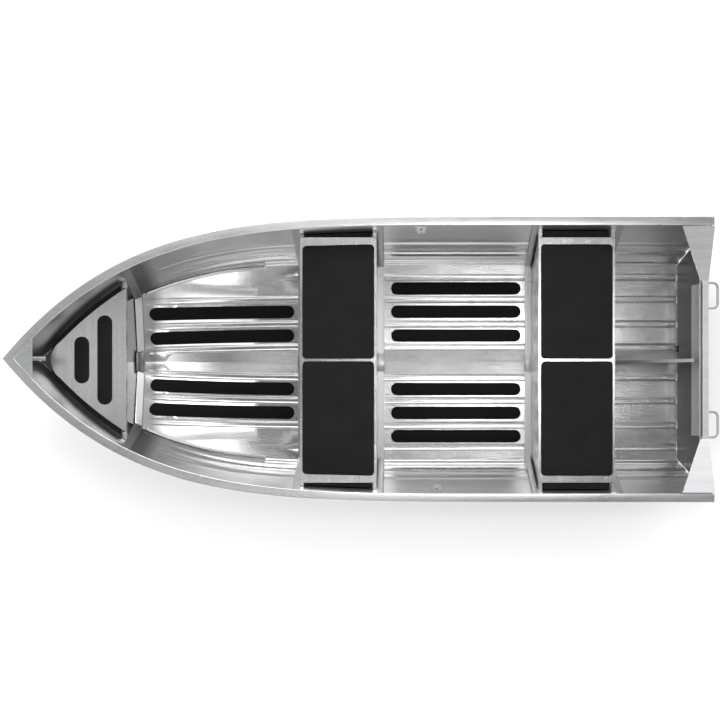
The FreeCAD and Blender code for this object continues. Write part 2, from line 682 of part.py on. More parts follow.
def thwart(label, station):
    """Buoyancy seat: a folded box, open below, with ends that slope in towards the chines."""
    body = body_named(label, place(x=f"{station} + Sizes.seat_width / 2"))
    low = f"({FLOOR_TEXT} + Sizes.fit)"
    outer = plane_sketch(body, f"{label}_outer", "YZ_Plane")
    outline(outer, [(f"-{SEAT_FOOT_TEXT}", low), (SEAT_FOOT_TEXT, low),
                    (SEAT_HALF_TEXT, SEAT_TEXT), (f"-{SEAT_HALF_TEXT}", SEAT_TEXT)])
    pad(body, outer, "Sizes.seat_width", both_ways=True)
    doc.recompute()
    inner = plane_sketch(body, f"{label}_inner", "YZ_Plane")
    wall = "Sizes.seat_wall"
    outline(inner, [(f"-{SEAT_FOOT_TEXT} + {wall}", f"{low} - {wall}"),
                    (f"{SEAT_FOOT_TEXT} - {wall}", f"{low} - {wall}"),
                    (f"{SEAT_HALF_TEXT} - 1.2 * {wall}", f"{SEAT_TEXT} - {wall}"),
                    (f"-{SEAT_HALF_TEXT} + 1.2 * {wall}", f"{SEAT_TEXT} - {wall}")])
    pocket(body, inner, f"Sizes.seat_width - 2 * {wall}", both_ways=True)


def thwart_pad(label, station, sign, slant):
    """Flat foam pad over half of a seat, with rounded corners and an outer end that may slant."""
    inner = f"{sign}Sizes.seat_pad_gap / 2"
    outer = f"{sign}({SEAT_HALF_TEXT} - Sizes.seat_pad_end)"
    short = f"{sign}({SEAT_HALF_TEXT} - Sizes.seat_pad_end - {slant})"
    body = body_named(label, place(x=f"{station} + Sizes.seat_width / 2", z=f"({SEAT_TEXT} + Sizes.fit)"))
    face = plane_sketch(body, f"{label}_face", "XY_Plane")
    wide = "(Sizes.seat_width / 2 - Sizes.seat_pad_edge)"
    outline(face, [(f"-{wide}", inner), (wide, inner), (wide, short), (f"-{wide}", outer)])
    block = pad(body, face, "Sizes.seat_pad_thickness")
    doc.recompute()
    rounded = body.newObject("PartDesign::Fillet", f"{label}_corners")
    rounded.Base = (block, upright_edges(block.Shape))
    rounded.setExpression("Radius", "Sizes.seat_pad_corner")


def thwart_brackets(seat_station, fore_name, aft_name):
    """Four short blocks that carry a seat's corners on the side frames next to them."""
    top = size("hull_depth") - size("seat_drop") - FIT
    low = top - size("bracket_height")
    length = size("bracket_length")
    lean = (worked(SEAT_HALF_TEXT) - worked(SEAT_FOOT_TEXT)) / (top - size("strake_depth"))
    blocks = []
    for name, start in ((aft_name, 0), (fore_name, size("seat_width") - length)):
        station = seat_station + start

        def section(s):
            inner = worked(SEAT_HALF_TEXT) + FIT + SKIN
            return [(inner - lean * (top - low), low), (side_inner(s, low, FIT), low),
                    (side_inner(s, top, FIT), top), (inner, top)]
        block = rail_solid(spread(station, station + length, SHORT_SECTIONS), section)
        blocks += [block, starboard(block)]
    return Part.makeCompound(blocks)


def bow_seat_outline(inset):
    """Plan of the bow seat: nearly straight sides, each a gap inside the hull, that meet in a round nose."""
    aft = BOW_FRAME_FORE + size("bow_seat_gap")
    nose, tip = L - size("bow_seat_nose_to_tip"), L - size("bow_seat_end_to_tip")
    waist, level = (aft + nose) / 2, worked(BOW_SEAT_TEXT)

    def at(station, y):
        return Vector(station - MIDDLE, y, 0)

    def breadth(station, gap):
        return side_inner(station, level, 0) - size(gap) - inset
    corner, side = breadth(aft, "bow_seat_corner_gap"), breadth(waist, "bow_seat_waist_gap")
    front = breadth(nose, "bow_seat_nose_gap")
    start = aft + inset
    return Part.Wire([
        Part.Arc(at(start, corner), at(waist, side), at(nose, front)).toShape(),
        Part.Arc(at(nose, front), at(tip - inset, 0), at(nose, -front)).toShape(),
        Part.Arc(at(nose, -front), at(waist, -side), at(start, -corner)).toShape(),
        Part.makeLine(at(start, -corner), at(start, corner))])


def bow_seat():
    """Bow seat: a plate with its edge turned down all round."""
    height, flange, wall = worked(BOW_SEAT_TEXT), size("bow_seat_flange"), size("seat_wall")
    solid = Part.Face(bow_seat_outline(0)).extrude(Vector(0, 0, flange))
    hollow = Part.Face(bow_seat_outline(wall)).extrude(Vector(0, 0, flange - wall))
    place_at = FreeCAD.Placement(Vector(0, 0, height - flange), FreeCAD.Rotation())
    feature("bow_seat", solid.cut(hollow), place_at)


def bow_seat_brackets():
    """Two blocks that carry the bow seat's aft corners on the bow frame."""
    level = worked(BOW_SEAT_TEXT)
    top, low = level - FIT, level - FIT - size("bow_seat_flange")
    start = BOW_FRAME_FORE + FIT
    edge = side_inner(BOW_FRAME_FORE + size("bow_seat_gap"), level, 0) - size("bow_seat_corner_gap")

    def section(s):
        return [(edge + FIT, low), (side_inner(s, low, FIT), low), (side_inner(s, top, FIT), top),
                (edge + FIT, top)]
    stations = spread(start, start + size("bow_bracket_length"), SHORT_SECTIONS)
    block = rail_solid(stations, section)
    return Part.makeCompound([block, starboard(block)])


def bow_seat_pad(number, half, station):
    """Full-round pad laid across the bow seat."""
    label = f"bow_seat_pad_{number}"
    body = doc.addObject("PartDesign::Body", label)
    body.Label = label
    body.setExpression("Placement", f"placement(vector({station} - {MIDDLE_TEXT}; 0; "
                       f"{BOW_SEAT_TEXT} + Sizes.fit); rotation(vector(0; 0; 1); 90))")
    face = plane_sketch(body, f"{label}_face", "XY_Plane")
    slot(face, half, "Sizes.bow_pad_width / 2")
    pad(body, face, "Sizes.seat_pad_thickness")


# ------------------------------------------------------------------ floor pads

def strake_gap(number):
    """Middle of the flat between two strakes, as an expression."""
    return f"(Sizes.{STRAKES[number]} + Sizes.{STRAKES[number + 1]}) / 2 * {CHINE_TEXT}"


def mid_floor_pads(side, sign):
    """Three pads on the flats between the strakes, between the two seats."""
    label = f"floor_pads_{side}"
    aft = "(Sizes.aft_seat_station + Sizes.seat_width + Sizes.mid_pad_aft_gap)"
    fore = "(Sizes.front_seat_station - Sizes.mid_pad_fore_gap)"
    middle = f"({aft} + {fore}) / 2"
    body = body_named(label, place(x=middle, z=f"({FLOOR_TEXT} + Sizes.fit)"))
    body.AllowCompound = True
    face = plane_sketch(body, f"{label}_face", "XY_Plane")
    for number in range(3):
        slot(face, f"({fore} - {aft}) / 2", "Sizes.pad_width / 2", f"{sign}{strake_gap(number)}")
    pad(body, face, "Sizes.pad_thickness")


def fore_floor_pad(number):
    """One pad of the fore floor, bent to the rising bottom and round at both ends."""
    half, thick = size("pad_width") / 2, size("pad_thickness")
    aft = size("front_seat_station") + size("seat_width") + size("fore_pad_aft_gap")
    fore = BOW_FRAME_AFT - size("fore_pad_fore_gap")

    def centre(station):
        return (strake_place(STRAKES[number], station) + strake_place(STRAKES[number + 1], station)) / 2

    def section(station):
        slope = (chine_height(station) - keel_height(station)) / chine_breadth(station)
        lift = SKIN * math.hypot(1, slope) + FIT
        edges = [centre(station) - half, centre(station) + half]
        low = [(y, bottom_line(station, y) + lift) for y in edges]
        return low + [(y, z + thick) for y, z in reversed(low)]
    strip = rail_solid(spread(aft, fore, FORE_SECTIONS), section)
    ends = Part.makeBox(fore - aft - 2 * half, L, L, Vector(aft + half - MIDDLE, 0, 0))
    for station, inside in ((aft, aft + half), (fore, fore - half)):
        ends = ends.fuse(Part.makeCylinder(half, L, Vector(inside - MIDDLE, centre(station), 0)))
    return strip.common(ends)


# -------------------------------------------------------------------- fittings

def rowlock_socket(side, sign):
    """Bored block on the gunwale's inner edge, with a raised ring round the bore."""
    label = f"rowlock_socket_{side}"
    station = f"Sizes.rowlock_{side}_station"
    taper = f"(({station} - Sizes.hull_length + Sizes.plan_run) / Sizes.plan_run) ^ Sizes.plan_power"
    edge = f"(Sizes.half_beam * (1 - {taper}) - Sizes.gunwale_width - 2 * Sizes.fit)"
    body = body_named(label, place(x=station, y=f"{sign}{edge}",
                                   z="Sizes.hull_depth - Sizes.rowlock_height"))
    face = plane_sketch(body, f"{label}_block", "XY_Plane")
    inward = "-" if sign == "" else ""
    outline(face, [("-Sizes.rowlock_width / 2", "0"), ("Sizes.rowlock_width / 2", "0"),
                   ("Sizes.rowlock_nose", f"{inward}(Sizes.rowlock_reach + Sizes.rowlock_nose)"),
                   ("-Sizes.rowlock_nose", f"{inward}(Sizes.rowlock_reach + Sizes.rowlock_nose)")])
    pad(body, face, "Sizes.rowlock_height")
    doc.recompute()
    for name, radius in (("ring", "Sizes.rowlock_ring"), ("bore", "Sizes.rowlock_bore")):
        circle = plane_sketch(body, f"{label}_{name}", "XY_Plane")
        bound_circle(circle, radius, "0", f"{inward}Sizes.rowlock_reach")
        if name == "ring":
            pad(body, circle, "Sizes.rowlock_height + Sizes.rowlock_ring_height")
        else:
            pocket(body, circle, "4 * Sizes.rowlock_height", both_ways=True)
        doc.recompute()


def lifting_handle(side, sign):
    """Round bar bent to a D, both legs square to the transom's outer face."""
    bar, bend = size("handle_bar"), size("handle_bend")
    half, reach = size("handle_span") / 2, size("handle_reach") - bar

    def at(x, y):
        return Vector(x, y, 0)
    near = bend * (1 - math.sqrt(0.5))
    path = Part.Wire([
        Part.makeLine(at(-FIT, -half), at(bend - reach, -half)),
        Part.Arc(at(bend - reach, -half), at(near - reach, near - half), at(-reach, bend - half)).toShape(),
        Part.makeLine(at(-reach, bend - half), at(-reach, half - bend)),
        Part.Arc(at(-reach, half - bend), at(near - reach, half - near), at(bend - reach, half)).toShape(),
        Part.makeLine(at(bend - reach, half), at(-FIT, half))])
    ring = Part.Wire(Part.Circle(at(-FIT, -half), Vector(1, 0, 0), bar).toShape())
    shape = path.makePipeShell([ring], True, True)
    for leg in (-half, half):
        foot = Part.makeCylinder(bar * 2, bar / 2, at(-FIT, leg), Vector(-1, 0, 0))
        shape = shape.fuse(foot)
    drop = size("handle_drop")
    offset = worked(DIP_HALF_TEXT) - size("handle_inset")
    spot = Vector(drop * math.tan(LEAN) - MIDDLE, sign * offset, size("hull_depth") - drop)
    lean = FreeCAD.Rotation(Vector(0, 1, 0), -size("transom_rake"))
    feature(f"lifting_handle_{side}", shape.removeSplitter(), FreeCAD.Placement(spot, lean))


def breasthook():
    """Flat web between the two gunwales at the bow."""
    def section(station):
        wide = max(inboard(station, size("gunwale_width")) - FIT, 1)
        top = sheer(station)
        low = top - size("breasthook_thickness")
        return [(-wide, low), (wide, low), (wide, top), (-wide, top)]
    aft, fore = L - size("breasthook_to_tip"), L - size("breasthook_nose_to_tip")
    return rail_solid(spread(aft, fore, SHORT_SECTIONS), section)


def stem_knee():
    """Flanged gusset on the centre line, under the breasthook and on the stem."""
    lap = size("stem_knee_lap")
    aft, fore = L - size("stem_knee_to_tip"), L - size("breasthook_to_tip") + lap
    wall, flange = size("stem_knee_wall"), size("stem_knee_flange") / 2

    def level(station):
        return sheer(station) - size("breasthook_thickness") - FIT
    foot = CHINE_END + size("chine_cut")
    web = [Vector(aft - MIDDLE, -wall / 2, level(aft)), Vector(fore - MIDDLE, -wall / 2, level(fore)),
           Vector(foot - MIDDLE, -wall / 2, stem_height(foot) + lap)]
    plate = Part.Face(Part.makePolygon(web + web[:1])).extrude(Vector(0, wall, 0))

    def section(station):
        top = level(station)
        return [(-flange, top - wall), (flange, top - wall), (flange, top), (-flange, top)]
    bar = rail_solid(spread(aft, fore, SHORT_SECTIONS), section)
    return joined([plate, bar])


# ---------------------------------------------------------------- the assembly

pair("bottom_panel", bottom_half())
pair("side_panel", side_panel())
joint = size("gunwale_joint")
pair("gunwale_aft", gunwale(aft_station(), joint))
pair("gunwale_fore", gunwale(joint + FIT, L))
pair("chine_rail", chine_rail())
feature("keel_strip", keel_strip())
feature("stem_strip", stem_strip())
feature("breasthook", breasthook())
feature("stem_knee", stem_knee())
pair("bow_frame", side_frame("bow", bow_foot))
SEAT_FRAMES = ("front_seat_forward", "front_seat_aft", "aft_seat_forward", "aft_seat_aft")
for frame_name in SEAT_FRAMES:
    pair(f"side_frame_{frame_name}", side_frame(frame_name, knee_foot))


for frame_name in SEAT_FRAMES:
    floor_frame(frame_name)

transom_panel()
motor_board()
transom_cap()
drain_bung()
transom_brace()
for side_name, side_sign in (("port", ""), ("starboard", "-")):
    corner_knee(side_name, side_sign)
    mid_floor_pads(side_name, side_sign)
    rowlock_socket(side_name, side_sign)
    lifting_handle(side_name, -1 if side_sign else 1)

for seat_name, seat_alias in (("front_seat", "front_seat_station"), ("aft_seat", "aft_seat_station")):
    thwart(seat_name, f"Sizes.{seat_alias}")
    slant = "Sizes.front_pad_slant" if seat_name == "front_seat" else "0"
    thwart_pad(f"{seat_name}_pad_port", f"Sizes.{seat_alias}", "", slant)
    thwart_pad(f"{seat_name}_pad_starboard", f"Sizes.{seat_alias}", "-", slant)
    feature(f"{seat_name}_brackets",
            thwart_brackets(size(seat_alias), f"{seat_name}_forward", f"{seat_name}_aft"))

bow_seat()
feature("bow_seat_brackets", bow_seat_brackets())
bow_seat_pad("aft", "Sizes.bow_pad_long_half", "(Sizes.hull_length - Sizes.bow_pad_long_to_tip)")
bow_seat_pad("fore", "Sizes.bow_pad_short_half", "(Sizes.hull_length - Sizes.bow_pad_short_to_tip)")
fore_pads = [fore_floor_pad(number) for number in range(2)]
feature("fore_floor_pads", Part.makeCompound(fore_pads + [starboard(shape) for shape in fore_pads]))

# ------------------------------------------------------------ checks and files

doc.recompute()
failed = [item.Name for item in doc.Objects if {"Invalid", "Error"} & set(item.State)]
if failed:
    raise RuntimeError(f"failed objects: {failed}")

sub_parts = [item for item in doc.Objects
             if item.isDerivedFrom("Part::Feature") and not item.InList
             and not item.isDerivedFrom("Sketcher::SketchObject")]
for item in sub_parts:
    if item.Shape.isNull() or not item.Shape.isValid() or item.Shape.Volume <= 0:
        raise RuntimeError(f"bad shape: {item.Label}")

os.makedirs("parts", exist_ok=True)
for item in sub_parts:
    item.Shape.exportStep(f"parts/{item.Label}.step")
print(len(sub_parts), "sub-parts")
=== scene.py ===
import json
import math
import random

import bmesh
import bpy
from mathutils import Matrix, Vector


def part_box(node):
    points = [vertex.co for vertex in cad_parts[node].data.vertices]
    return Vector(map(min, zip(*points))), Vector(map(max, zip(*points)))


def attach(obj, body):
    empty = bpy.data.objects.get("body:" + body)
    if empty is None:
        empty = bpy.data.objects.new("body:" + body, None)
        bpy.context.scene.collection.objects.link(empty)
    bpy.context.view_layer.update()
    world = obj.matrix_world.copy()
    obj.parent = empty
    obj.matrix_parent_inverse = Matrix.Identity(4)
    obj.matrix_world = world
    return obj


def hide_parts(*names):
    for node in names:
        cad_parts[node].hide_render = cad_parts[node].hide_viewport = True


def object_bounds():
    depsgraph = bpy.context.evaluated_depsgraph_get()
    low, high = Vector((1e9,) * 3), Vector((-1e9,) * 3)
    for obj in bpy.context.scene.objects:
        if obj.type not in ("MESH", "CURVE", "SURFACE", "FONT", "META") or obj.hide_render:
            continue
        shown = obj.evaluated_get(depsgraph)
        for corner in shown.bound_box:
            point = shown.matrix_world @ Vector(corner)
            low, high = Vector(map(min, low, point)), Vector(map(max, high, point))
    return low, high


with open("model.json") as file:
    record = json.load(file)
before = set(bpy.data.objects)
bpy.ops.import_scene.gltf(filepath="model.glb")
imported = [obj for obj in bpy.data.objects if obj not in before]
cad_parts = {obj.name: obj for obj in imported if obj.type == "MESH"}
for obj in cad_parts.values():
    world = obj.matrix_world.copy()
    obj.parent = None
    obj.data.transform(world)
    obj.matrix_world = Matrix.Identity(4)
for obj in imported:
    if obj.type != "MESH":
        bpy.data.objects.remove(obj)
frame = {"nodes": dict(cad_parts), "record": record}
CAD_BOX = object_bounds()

bl_info = {
    "name": "Aluminium Rowing Boat",
    "version": (1, 0, 0),
    "blender": (4, 5, 0),
    "location": "View3D > Sidebar > Boat",
    "description": "Pressed sheets, gunwales, seats, pads and fittings of an open aluminium rowing boat",
    "category": "Object",
}

NODES = frame["nodes"]
FINISHES = {}

# Values that only the looks need. Lengths and places are in metres.
SEAT_FOOT_GAP = 0.044
# Top of the painted dark reflection on the transom's inner face.
DARK_FACE_TOP = 0.335
# X forward of which what looks up in the bow gets a painted dark reflection.
BOW_REFLECTION_START = 1.10
ROUGH_ABOVE = (0.10, 0.30)
EVEN = (1.0, 1.0, 1.0)
ACROSS_GRAIN = 40.0
ALONG_GRAIN = 0.9
CLOUDED = 0.84
CUT_START = -0.04
BOTTOM_SHORT = 0.01
SHEET_STATIONS = 90
GUNWALE_STATIONS = 110
GUNWALE_ROUND = 0.0035
NUDGE = 1e-5
SAME_SPOT = 1e-5
LEAST_BREADTH = 0.001
EDGE_MARGIN = 0.001
SMOOTH_ANGLE = math.radians(35)
FLAT_ANGLE = math.radians(0.4)
PAD_CORNER = math.radians(50)
SEAT_PAD_ROLL = 0.0022
FLOOR_PAD_ROLL = 0.0016
FOLD_ROUND = 0.0009

# The strakes' centres as shares of the half breadth of the chine, and the ribs' centres up the side.
STRAKE_SHARES = (0.1554, 0.3914, 0.6423)
OUTER_STRAKE_SHARE = 0.867
RIB_HEIGHTS = (0.042, 0.158, 0.274)
ABOVE_RIBS = 0.32
SHOULDER = 0.55
PRESSING_STEPS = 11

# Name, place, size and radiance of each soft box, and the point that they all look at.
SOFTBOXES = (
    ("bay_softbox", (-1.05, -0.20, 5.2), (0.7, 1.4), 8.5),
    ("bow_softbox", (2.5, -0.10, 5.2), (1.3, 1.4), 0.55),
    ("port_softbox", (0.3, 1.15, 5.2), (2.0, 0.4), 1.5),
    ("starboard_softbox", (0.3, -1.45, 5.2), (2.0, 0.4), 1.5),
    ("starboard_bank", (0.3, -3.0, 3.3), (2.4, 1.6), 5.0),
    ("port_bank", (0.3, 3.0, 3.3), (2.4, 1.6), 1.6),
)
SOFTBOX_TARGET = (0, 0, 0.3)


# ------------------------------------------------------------------ properties

def length(name, description, default):
    return bpy.props.FloatProperty(name=name, description=description, default=default,
                                   subtype="DISTANCE", unit="LENGTH", precision=4)


def share(name, description, default):
    return bpy.props.FloatProperty(name=name, description=description, default=default,
                                   min=0.0, max=1.0, subtype="FACTOR")


def tint(name, description, default):
    return bpy.props.FloatVectorProperty(name=name, description=description, default=default,
                                         size=3, min=0.0, max=1.0, subtype="COLOR")


class HullSizes(bpy.types.PropertyGroup):
    """Lines of the hull. Stations run forward from the top of the transom."""
    hull_length: length("Length", "Transom top to bow tip", 3.6)
    half_beam: length("Half beam", "Centre line to the gunwale's outer edge", 0.73)
    depth: length("Depth", "Ground to the gunwale amidships", 0.54)
    bow_rise: length("Bow rise", "How far the gunwale climbs at the bow", 0.13)
    plan_run: length("Plan run", "Length over which the gunwale draws in", 2.95)
    chine_half: length("Half breadth of chine", "Centre line to the chine", 0.534)
    chine_start: length("Chine start", "Station where the chine begins to draw in", 2.0)
    chine_end: length("Chine end", "Station where the chine meets the stem", 3.48)
    rise_start: length("Rise start", "Station where the bottom begins to climb", 2.17)
    chine_rise: length("Chine rise", "Climb of the chine at the stem", 0.4)
    skin: length("Sheet", "Thickness of the hull's sheet", 0.002)
    fit: length("Fit", "Gap between sheets that touch", 0.0003)
    strake_depth: length("Strake depth", "Depth of the bottom's pressed strakes", 0.01)
    strake_width: length("Strake width", "Breadth of a strake", 0.042)
    strake_converge: length("Strake converge", "How far the strakes draw in at the stem", 0.052)
    strake_end: length("Strake end", "Station where the strakes fade out", 3.0)
    outer_strake_end: length("Outer strake end", "Station where the outermost strake fades out", 2.25)
    rib_depth: length("Rib depth", "Depth of the ribs pressed in the sides", 0.006)
    rib_width: length("Rib width", "Breadth of a side rib", 0.05)
    rib_end: length("Rib end", "Station where the side ribs fade out", 2.96)
    press_fade: length("Fade", "Length over which a pressing fades out", 0.16)
    keel_drop: length("Keel drop", "How far the centre seam is folded down", 0.006)
    gunwale_width: length("Gunwale width", "Flat top of the gunwale", 0.045)
    gunwale_outer: length("Outer leg", "Height of the gunwale's outer leg", 0.032)
    gunwale_inner: length("Inner leg", "Height of the gunwale's inner leg", 0.016)
    gunwale_wall: length("Gunwale wall", "Wall of the gunwale", 0.0025)
    rake: bpy.props.FloatProperty(name="Rake", description="Lean of the transom", default=math.radians(9.5),
                                  subtype="ANGLE", unit="ROTATION")


class BoatFinish(bpy.types.PropertyGroup):
    """Colours and surface values of the metal and the foam."""
    sheet: tint("Sheet", "Bare rolled aluminium", (0.70, 0.70, 0.704))
    pressed: tint("Pressed parts", "Folded frames and braces", (0.50, 0.495, 0.49))
    # Colour of the painted dark reflection inside the bow.
    bow_dark_reflection: tint("Bow dark reflection", "Painted dark reflection inside the bow", (0.27, 0.268, 0.265))
    # Colour of the painted dark reflection on the transom's inner face.
    painted_dark_face: tint("Painted dark face", "Inner face of the transom", (0.10, 0.10, 0.102))
    drawn: tint("Drawn sections", "Gunwale and caps", (0.84, 0.852, 0.866))
    cast: tint("Castings", "Sockets and handles", (0.46, 0.465, 0.475))
    foam: tint("Seat foam", "Closed-cell foam of the seats", (0.0055, 0.0057, 0.0062))
    mat: tint("Floor foam", "Closed-cell foam of the floor", (0.0012, 0.0013, 0.0015))
    sheet_rough: share("Sheet roughness", "How dull the rolled sheet is", 0.23)
    drawn_rough: share("Section roughness", "How dull the drawn sections are", 0.30)


# ---------------------------------------------------------------- shader maths

class Val:
    """A socket that can be used in arithmetic; each operation adds a Math node."""

    def __init__(self, shader, socket):
        self.shader, self.socket = shader, socket

    def _with(self, operation, other, flip=False):
        pair = (other, self) if flip else (self, other)
        return self.shader.add("ShaderNodeMath", {"operation": operation}, *pair)

    def __add__(self, other):
        return self._with("ADD", other)

    def __radd__(self, other):
        return self._with("ADD", other, True)

    def __sub__(self, other):
        return self._with("SUBTRACT", other)

    def __rsub__(self, other):
        return self._with("SUBTRACT", other, True)

    def __mul__(self, other):
        return self._with("MULTIPLY", other)

    def __rmul__(self, other):
        return self._with("MULTIPLY", other, True)


class Shader:
    """The nodes of one material or world, built by add()."""

    def __init__(self, owner):
        self.owner = owner
        owner.use_nodes = True
        self.tree = owner.node_tree
        self.tree.nodes.clear()

    def add(self, kind, settings=None, *inputs, out=0, **named):
        """Adds a node: its settings first, then inputs by position or by name; returns one output."""
        node = self.tree.nodes.new(kind)
        for key, value in (settings or {}).items():
            if key == "stops":
                ramp = node.color_ramp
                while len(ramp.elements) < len(value):
                    ramp.elements.new(1.0)
                for element, (place, level) in zip(ramp.elements, value):
                    element.position, element.color = place, (level, level, level, 1.0)
            else:
                setattr(node, key, value)
        for index, value in list(enumerate(inputs)) + list(named.items()):
            if value is None:
                continue
            key = index.replace("_", " ") if isinstance(index, str) else index
            socket = node.inputs[key]
            if isinstance(value, Val):
                self.tree.links.new(value.socket, socket)
            elif hasattr(socket, "default_value") and hasattr(socket.default_value, "__len__"):
                filled = tuple(value) + (1.0,) * (len(socket.default_value) - len(value))
                socket.default_value = filled
            else:
                socket.default_value = value
        return Val(self, node.outputs[out]) if len(node.outputs) else None

    def place(self, stretch=EVEN):
        """Object coordinates scaled along each axis; small numbers make long streaks."""
        spot = self.add("ShaderNodeTexCoord", out=3)
        return self.add("ShaderNodeVectorMath", {"operation": "MULTIPLY"}, spot, stretch)

    def facing(self):
        """The direction in which the surface looks, in object coordinates."""
        return self.add("ShaderNodeTexCoord", out=1)

    def part_of(self, vector, axis):
        """One coordinate of a vector: 0 for X, 1 for Y and 2 for Z."""
        return self.add("ShaderNodeSeparateXYZ", {}, vector, out=axis)

    def noise(self, stretch, scale, detail=2.0, rough=0.5):
        return self.add("ShaderNodeTexNoise", {}, Vector=self.place(stretch), Scale=scale,
                        Detail=detail, Roughness=rough)

    def ramp(self, value, *stops):
        return self.add("ShaderNodeValToRGB", {"stops": stops}, value)

    def blend(self, amount, first, second):
        """Mix of two colours, which are the node's seventh and eighth inputs."""
        unused = [None] * 5
        return self.add("ShaderNodeMix", {"data_type": "RGBA"}, amount, *unused, first, second, out=2)

    def bump(self, height, distance, strength=1.0, normal=None):
        return self.add("ShaderNodeBump", {}, Strength=strength, Distance=distance, Height=height,
                        Normal=normal)

    def finish(self, **sockets):
        surface = self.add("ShaderNodeBsdfPrincipled", {}, **sockets)
        self.add("ShaderNodeOutputMaterial", {}, surface)
        return self.owner


def painted_dark_face(s, coloured, height, direction, colour):
    """Lays a painted dark reflection, a darker colour, on faces that look one way, below its top height."""
    turned = s.add("ShaderNodeVectorMath", {"operation": "DOT_PRODUCT"}, s.facing(), direction, out=1)
    below = s.ramp(height, (DARK_FACE_TOP, 1.0), (DARK_FACE_TOP + 0.004, 0.0))
    return s.blend(s.ramp(turned, (0.90, 0.0), (0.98, 1.0)) * below, coloured, colour)


def paint_bow_reflection(s, coloured, colour):
    """Lays a painted dark reflection on what looks up, forward of its start in the bow. Halved, X fits the
    ramp.
    """
    ahead = s.part_of(s.place((0.5, 0.5, 0.5)), 0)
    bow_share = s.ramp(ahead, (BOW_REFLECTION_START / 2, 0.0), (BOW_REFLECTION_START / 2 + 0.03, 1.0))
    upward = s.ramp(s.part_of(s.facing(), 2), (0.0, 0.0), (0.05, 1.0))
    return s.blend(bow_share * upward, coloured, colour)


def metal(name, colour, rough, grain, waviness, streak=0.5, grain_axis=0, dulled=0.0, dark_face_paint=None, bow_reflection_tint=None):
    """Bare aluminium: rolling lines along one axis, soft waves, clouded tone, duller above the floor.

    Grain and waviness are the heights of the two bumps in metres, and streak is how much the lines change
    the roughness. The dark face paint is a direction and the colour of a painted dark reflection on the faces
    that look that way. The bow reflection tint is the colour of a painted dark reflection on what looks up
    inside the bow.
    """
    s = Shader(bpy.data.materials.new(name))
    stretch = [ACROSS_GRAIN] * 3
    stretch[grain_axis] = ALONG_GRAIN
    lines = s.noise(tuple(stretch), 9.0, 3.0, 0.62)
    broad = s.noise(tuple(0.25 * v for v in stretch), 4.0)
    clouds = s.noise(EVEN, 3.2, 3.0)
    scuffs = s.ramp(s.noise((3.0, 11.0, 11.0), 6.0, 5.0, 0.7), (0.60, 0.0), (0.78, 1.0))
    tone = s.ramp(broad * 0.6 + clouds * 0.4, (0.3, 0.0), (0.7, 1.0))
    coloured = s.blend(tone, tuple(CLOUDED * c for c in colour), colour)
    height = s.part_of(s.place(), 2)
    # Painted dark reflection on the faces that look the given way, and on what looks up in the bow.
    if dark_face_paint:
        coloured = painted_dark_face(s, coloured, height, *dark_face_paint)
    if bow_reflection_tint:
        coloured = paint_bow_reflection(s, coloured, bow_reflection_tint)
    worn = s.ramp(height, (ROUGH_ABOVE[0], 0.0), (ROUGH_ABOVE[1], 1.0)) * dulled
    roughness = (lines - 0.5) * streak * 0.30 + (clouds - 0.5) * 0.10 + scuffs * 0.10 + rough + worn
    normal = s.bump(s.noise(EVEN, 2.4, 1.0), waviness)
    normal = s.bump(lines, grain, normal=normal)
    return s.finish(Base_Color=coloured, Metallic=1.0, Roughness=roughness, Normal=normal)


def foam(name, colour, rough):
    """Closed-cell foam: fine pores, faint cloudiness and a soft dull face."""
    s = Shader(bpy.data.materials.new(name))
    pores = s.add("ShaderNodeTexVoronoi", {}, Vector=s.place(), Scale=900.0)
    grain = s.noise(EVEN, 420.0, 3.0, 0.6)
    clouds = s.noise(EVEN, 7.0, 4.0, 0.55)
    paler = tuple(1.5 * c for c in colour)
    shown = s.blend(s.ramp(clouds, (0.35, 0.0), (0.75, 1.0)), colour, paler)
    roughness = (clouds - 0.5) * 0.14 + (grain - 0.5) * 0.10 + rough
    normal = s.bump(pores * 0.6 + grain * 0.4, 0.0003, 0.6)
    return s.finish(Base_Color=shown, Roughness=roughness, Normal=normal, Specular_IOR_Level=0.12)


def materials():
    """Every finish of the boat, made once."""
    look = bpy.context.scene.boat_finish
    rake = bpy.context.scene.boat_hull.rake
    inward = (math.cos(rake), 0.0, math.sin(rake))
    return {
        # The hull sheet gets a painted dark reflection on what looks up inside the bow.
        "hull_sheet": metal("rolled_sheet", look.sheet, look.sheet_rough, 0.00012, 0.0035, streak=0.55,
                            dulled=0.14, bow_reflection_tint=look.bow_dark_reflection),
        # The transom's inner face gets a painted dark reflection.
        "transom_sheet": metal("transom_sheet", look.sheet, 0.30, 0.00008, 0.0010, grain_axis=1,
                               dark_face_paint=(inward, look.painted_dark_face)),
        "frame_sheet": metal("pressed_frame", look.pressed, 0.34, 0.00010, 0.0012, grain_axis=1),
        "seat_sheet": metal("seat_sheet", look.drawn, 0.25, 0.00008, 0.0010, grain_axis=1),
        "extrusion": metal("drawn_section", look.drawn, look.drawn_rough, 0.00010, 0.0008),
        "casting": metal("casting", look.cast, 0.30, 0.00005, 0.0004, streak=0.2),
        "seat_foam": foam("seat_foam", look.foam, 0.62),
        "floor_foam": foam("floor_foam", look.mat, 0.60),
        "rubber": foam("bung_rubber", look.mat, 0.5),
    }


def finish_of(slot):
    """The finish of a slot; all of them are made when the first one is asked for."""
    if not FINISHES:
        FINISHES.update(materials())
    return FINISHES[slot]


# ------------------------------------------------------------------ hull lines

def spread(start, end, count):
    return [start + (end - start) * step / (count - 1) for step in range(count)]


def beyond(s, start, end):
    """0 up to the start, 1 at the end and more after it."""
    return max(0.0, (s - start) / (end - start))


def eased(part):
    """A share from 0 to 1, held within those and eased at both."""
    held = min(1.0, max(0.0, part))
    return held * held * (3 - 2 * held)


